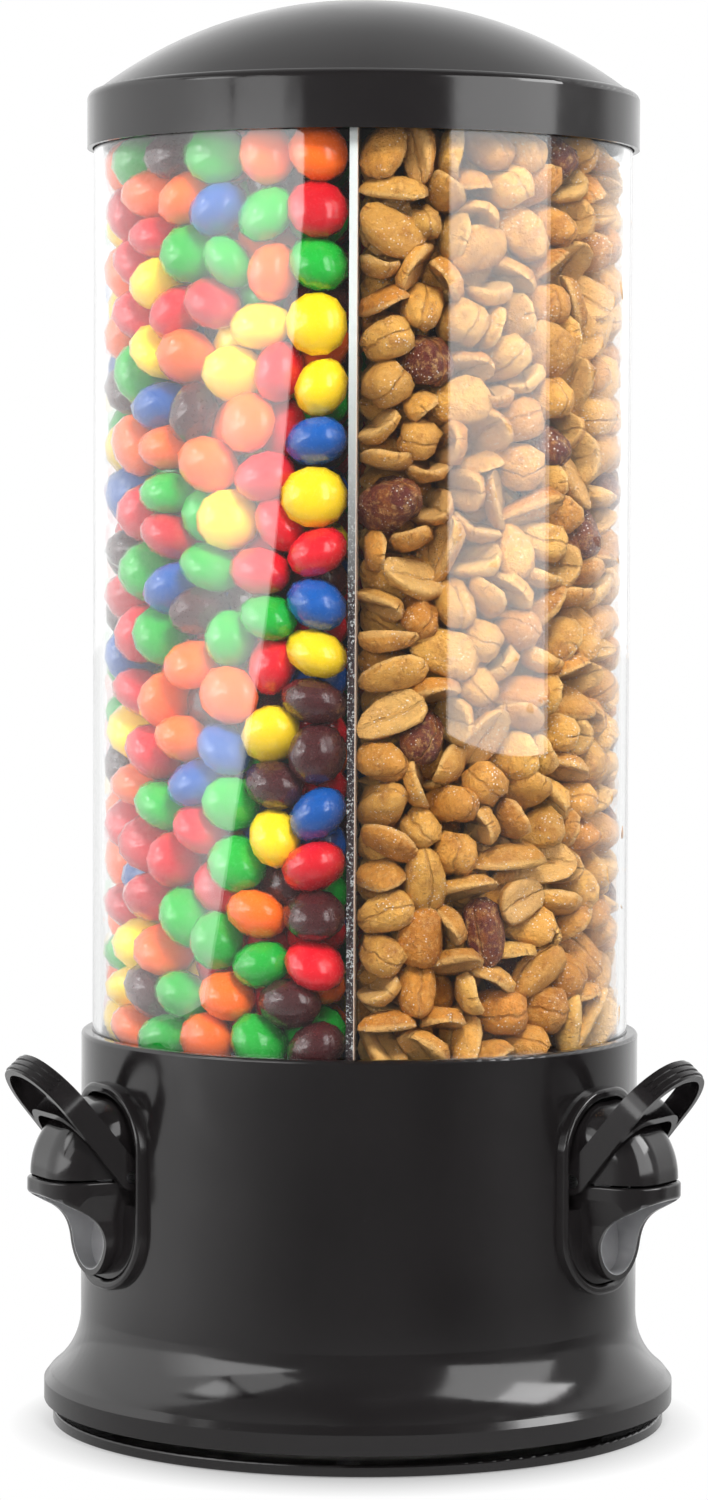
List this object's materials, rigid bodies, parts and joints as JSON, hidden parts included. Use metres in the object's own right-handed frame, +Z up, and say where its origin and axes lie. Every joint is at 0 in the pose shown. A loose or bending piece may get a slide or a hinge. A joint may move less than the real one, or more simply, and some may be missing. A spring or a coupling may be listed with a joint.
{
  "type": "candy dispenser",
  "caption": "Countertop candy dispenser: a divided clear tube under a domed lid, on a turning black base with a press lever, scoop and spout for each compartment.",
  "frame": {"origin": "on the turning axis, at the underside of the foot's rubber mat", "axes": "+Z up along the turning axis; the front faces -Y, between the left and right spouts; +X to the right"},
  "size_m": [0.1586, 0.1619, 0.33],
  "materials": {
    "black_gloss": "high-gloss black moulded plastic with a faint ripple",
    "clear_plastic": "clear polished acrylic",
    "scoop_plastic": "satin black moulded plastic",
    "steel": "zinc-bright steel",
    "ball_steel": "polished bearing steel",
    "cage_plastic": "natural nylon",
    "mat_rubber": "matt anti-slip rubber"
  },
  "bodies": {
    "foot": {"foot_disc": "black_gloss", "foot_mat": "mat_rubber", "pivot_bolt": "steel", "pivot_washer": "steel", "pivot_nut": "steel"},
    "dispenser": {"base_housing": "black_gloss", "bottom_cover": "black_gloss", "cover_screws": "steel", "hopper_floor": "black_gloss", "clear_tube": "clear_plastic", "divider": "clear_plastic", "spout_rear": "black_gloss", "hood_rear": "black_gloss", "spring_rear": "steel", "spout_left": "black_gloss", "hood_left": "black_gloss", "spring_left": "steel", "spout_right": "black_gloss", "hood_right": "black_gloss", "spring_right": "steel"},
    "cage": {"ball_cage": "cage_plastic", "bearing_balls": "ball_steel"},
    "lid": {"lid": "black_gloss"},
    "lever_unit_rear": {"lever_rear": "black_gloss", "scoop_rear": "scoop_plastic", "axle_rear": "steel"},
    "lever_unit_left": {"lever_left": "black_gloss", "scoop_left": "scoop_plastic", "axle_left": "steel"},
    "lever_unit_right": {"lever_right": "black_gloss", "scoop_right": "scoop_plastic", "axle_right": "steel"}
  },
  "joints": [
    {"name": "base_spin", "type": "hinge", "parent": "foot", "child": "dispenser", "pos_m": [0, 0, 0.0041], "axis": [0, 0, 1], "continuous": true},
    {"name": "cage_spin", "type": "hinge", "parent": "foot", "child": "cage", "pos_m": [0, 0, 0.0041], "axis": [0, 0, 1], "continuous": true},
    {"name": "lid_lift", "type": "slide", "parent": "dispenser", "child": "lid", "axis": [0, 0, 1], "range_m": [0, 0.06]},
    {"name": "lever_press_rear", "type": "hinge", "parent": "dispenser", "child": "lever_unit_rear", "pos_m": [0, 0.0648, 0.062], "axis": [-1, 0, 0], "range_deg": [0, 80], "stiffness_Nm_per_rad": 0.03, "springref_deg": -28.65},
    {"name": "lever_press_left", "type": "hinge", "parent": "dispenser", "child": "lever_unit_left", "pos_m": [-0.05612, -0.0324, 0.062], "axis": [0.5, -0.866, 0], "range_deg": [0, 80], "stiffness_Nm_per_rad": 0.03, "springref_deg": -28.65},
    {"name": "lever_press_right", "type": "hinge", "parent": "dispenser", "child": "lever_unit_right", "pos_m": [0.05612, -0.0324, 0.062], "axis": [0.5, 0.866, 0], "range_deg": [0, 80], "stiffness_Nm_per_rad": 0.03, "springref_deg": -28.65}
  ],
  "couplings": [
    {"joint": "cage_spin", "follows": "base_spin", "ratio": 0.5}
  ]
}
